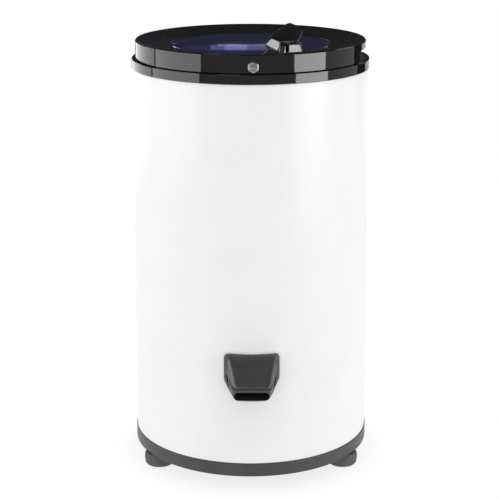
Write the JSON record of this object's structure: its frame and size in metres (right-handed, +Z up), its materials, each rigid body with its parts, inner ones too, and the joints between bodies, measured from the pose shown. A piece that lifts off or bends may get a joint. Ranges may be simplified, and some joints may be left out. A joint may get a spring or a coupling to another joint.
{
  "type": "spin dryer",
  "caption": "Free-standing spin dryer with a round hinged lid, a latch lever that works a switch and brake, a perforated drum, its motor and a drain spout.",
  "frame": {"origin": "on the floor, under the middle of the object's box", "axes": "+Z up, along the drum's axis; the drain spout faces -Y; the lid's hinge is at -X"},
  "size_m": [0.345, 0.389, 0.6559],
  "materials": {
    "white_paint": "satin gloss paint",
    "grey_moulding": "satin moulded",
    "lid_moulding": "polished",
    "window_blue": "polished, tinted",
    "spout_moulding": "satin moulded",
    "lever_moulding": "satin gloss",
    "inner_moulding": "as moulded",
    "black_moulding": "as moulded",
    "bolt_chrome": "polished",
    "steel": "machined",
    "zinc": "zinc plated",
    "alloy": "as cast",
    "windings": "lacquered copper",
    "rubber": "matt",
    "terminal_plastic": "as moulded",
    "plunger_red": "as moulded"
  },
  "bodies": {
    "housing": {"housing_shell": "white_paint", "base_ring": "grey_moulding", "foot_left": "rubber", "foot_right": "rubber", "foot_back": "rubber", "foot_screw_left": "zinc", "foot_screw_right": "zinc", "foot_screw_back": "zinc", "collar": "grey_moulding", "splash_funnel": "inner_moulding", "hinge_bracket": "black_moulding", "hinge_pin": "steel", "keeper_bracket": "zinc", "keeper_bar": "steel", "interlock_switch": "black_moulding", "brake_cable": "black_moulding", "spout_chute": "spout_moulding", "spout_hood": "spout_moulding", "spout_gasket": "rubber", "drain_hose": "rubber", "cord_gland": "black_moulding", "buffer_left": "rubber", "buffer_right": "rubber", "buffer_back": "rubber", "capacitor": "alloy", "capacitor_clamp": "zinc", "terminal_block": "terminal_plastic", "switch_lead": "inner_moulding", "mains_lead": "inner_moulding", "motor_carrier": "zinc", "motor_frame": "alloy", "motor_cap_lower": "alloy", "motor_cap_upper": "alloy", "stator_core": "windings", "bearing_lower": "steel", "bearing_upper": "steel", "tub": "inner_moulding", "tub_rim_seal": "rubber", "shaft_seal": "rubber", "brake_bracket": "zinc", "brake_pivot_pin": "steel", "brake_spring": "steel"},
    "rotor": {"shaft": "steel", "rotor_core": "zinc", "cooling_fan": "black_moulding", "brake_drum": "zinc", "drum": "steel", "drum_hub": "inner_moulding", "drum_nut": "zinc", "balance_ring": "inner_moulding"},
    "brake_arm": {"brake_arm": "zinc", "brake_lining": "grey_moulding"},
    "plunger": {"plunger": "plunger_red"},
    "lid": {"lid_rim": "lid_moulding", "lid_window": "window_blue", "lid_seal": "rubber", "latch_bolt": "bolt_chrome"},
    "lever": {"latch_arm": "steel", "latch_handle": "lever_moulding"}
  },
  "joints": [
    {"name": "lid_hinge", "type": "hinge", "parent": "housing", "child": "lid", "pos_m": [-0.1635, 0.0185, 0.6115], "axis": [0, -1, 0], "range_deg": [0, 100]},
    {"name": "latch_lever", "type": "hinge", "parent": "lid", "child": "lever", "pos_m": [0.0037, -0.1427, 0.6003], "axis": [0, -1, 0], "range_deg": [0, 85]},
    {"name": "drum_spin", "type": "hinge", "parent": "housing", "child": "rotor", "pos_m": [0, 0.0185, 0.205], "axis": [0, 0, 1], "continuous": true},
    {"name": "brake_release", "type": "hinge", "parent": "housing", "child": "brake_arm", "pos_m": [0.051, -0.0155, 0.178], "axis": [0, 0, -1], "range_deg": [0, 6], "stiffness_Nm_per_rad": 0.4},
    {"name": "switch_plunger", "type": "slide", "parent": "housing", "child": "plunger", "axis": [1, 0, 0], "range_m": [0, 0.003], "stiffness_N_per_m": 60}
  ],
  "couplings": [
    {"joint": "brake_release", "follows": "latch_lever", "ratio": 0.070588},
    {"joint": "switch_plunger", "follows": "latch_lever", "m_per_rad": 0.002022}
  ]
}
